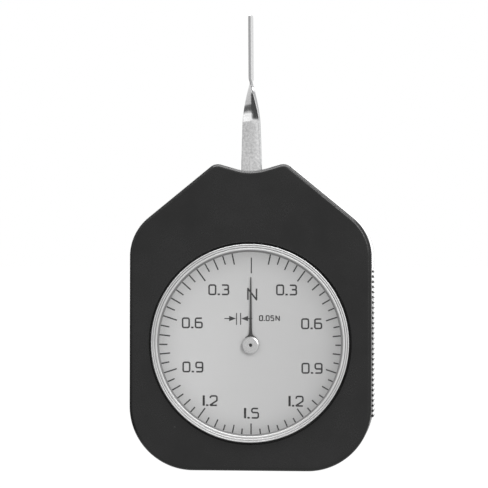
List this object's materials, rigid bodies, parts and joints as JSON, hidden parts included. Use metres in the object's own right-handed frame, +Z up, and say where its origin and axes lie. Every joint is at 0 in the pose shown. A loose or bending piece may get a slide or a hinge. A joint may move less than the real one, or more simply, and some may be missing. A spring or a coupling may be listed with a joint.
{
  "type": "dial tension gauge",
  "caption": "Hand-held dial tension gauge: flat black housing, round dial in a silver ring, and a twisted steel feeler that turns the pointer.",
  "frame": {"origin": "centre of the box's bottom face, which is the housing's flat bottom edge", "axes": "+Z up along the feeler, -Y out of the dial towards the reader, +X to the reader's right"},
  "size_m": [0.0658, 0.018, 0.1223],
  "materials": {
    "case_plastic": "fine satin, black",
    "ring_silver": "turned, silver",
    "dial_silver": "satin, printed in black",
    "crystal_glass": "clear",
    "gasket_rubber": "matt",
    "spacer_plastic": "satin",
    "pointer_paint": "black",
    "feeler_steel": "polished",
    "turned_steel": "turned",
    "movement_brass": "satin",
    "bush_bronze": "satin",
    "screw_zinc": "zinc plated"
  },
  "bodies": {
    "housing": {"front_case": "case_plastic", "back_cover": "case_plastic", "cover_screw_1": "screw_zinc", "cover_screw_2": "screw_zinc", "cover_screw_3": "screw_zinc", "cover_screw_4": "screw_zinc", "bezel_ring": "ring_silver", "crystal": "crystal_glass", "crystal_gasket": "gasket_rubber", "dial_spacer": "spacer_plastic", "dial_plate": "dial_silver", "movement_plate": "movement_brass", "movement_bridge": "movement_brass", "pillar_1": "movement_brass", "pillar_2": "movement_brass", "pillar_3": "movement_brass", "plate_screw_1": "screw_zinc", "plate_screw_2": "screw_zinc", "plate_screw_3": "screw_zinc", "plate_screw_4": "screw_zinc", "bridge_screw_1": "screw_zinc", "bridge_screw_2": "screw_zinc", "bridge_screw_3": "screw_zinc", "arbor_front_bush": "bush_bronze", "arbor_back_bush": "bush_bronze", "feeler_front_bush": "bush_bronze", "feeler_back_bush": "bush_bronze", "hairspring": "bush_bronze", "hairspring_stud": "turned_steel", "return_spring_left": "turned_steel", "return_spring_right": "turned_steel", "spring_post_left": "turned_steel", "spring_post_right": "turned_steel", "stop_pin_left": "turned_steel", "stop_pin_right": "turned_steel"},
    "feeler_arm": {"feeler": "feeler_steel", "feeler_holder": "turned_steel", "feeler_screw_1": "screw_zinc", "feeler_screw_2": "screw_zinc", "feeler_shaft": "turned_steel", "sector_gear": "movement_brass", "anchor_pin_left": "turned_steel", "anchor_pin_right": "turned_steel"},
    "pointer_train": {"pointer": "pointer_paint", "pointer_boss": "turned_steel", "pointer_arbor": "turned_steel", "pointer_pinion": "movement_brass", "hairspring_collet": "movement_brass"}
  },
  "joints": [
    {"name": "feeler_swing", "type": "hinge", "parent": "housing", "child": "feeler_arm", "pos_m": [0, 0, 0.0696], "axis": [0, 1, 0], "range_deg": [-9.5, 9.5], "stiffness_Nm_per_rad": 0.478, "deforming": ["return_spring_left", "return_spring_right"]},
    {"name": "pointer_spin", "type": "hinge", "parent": "housing", "child": "pointer_train", "pos_m": [0, 0, 0.0336], "axis": [0, 1, 0], "range_deg": [-181, 181], "deforming": ["hairspring"]}
  ],
  "couplings": [
    {"joint": "pointer_spin", "follows": "feeler_swing", "ratio": -19}
  ]
}
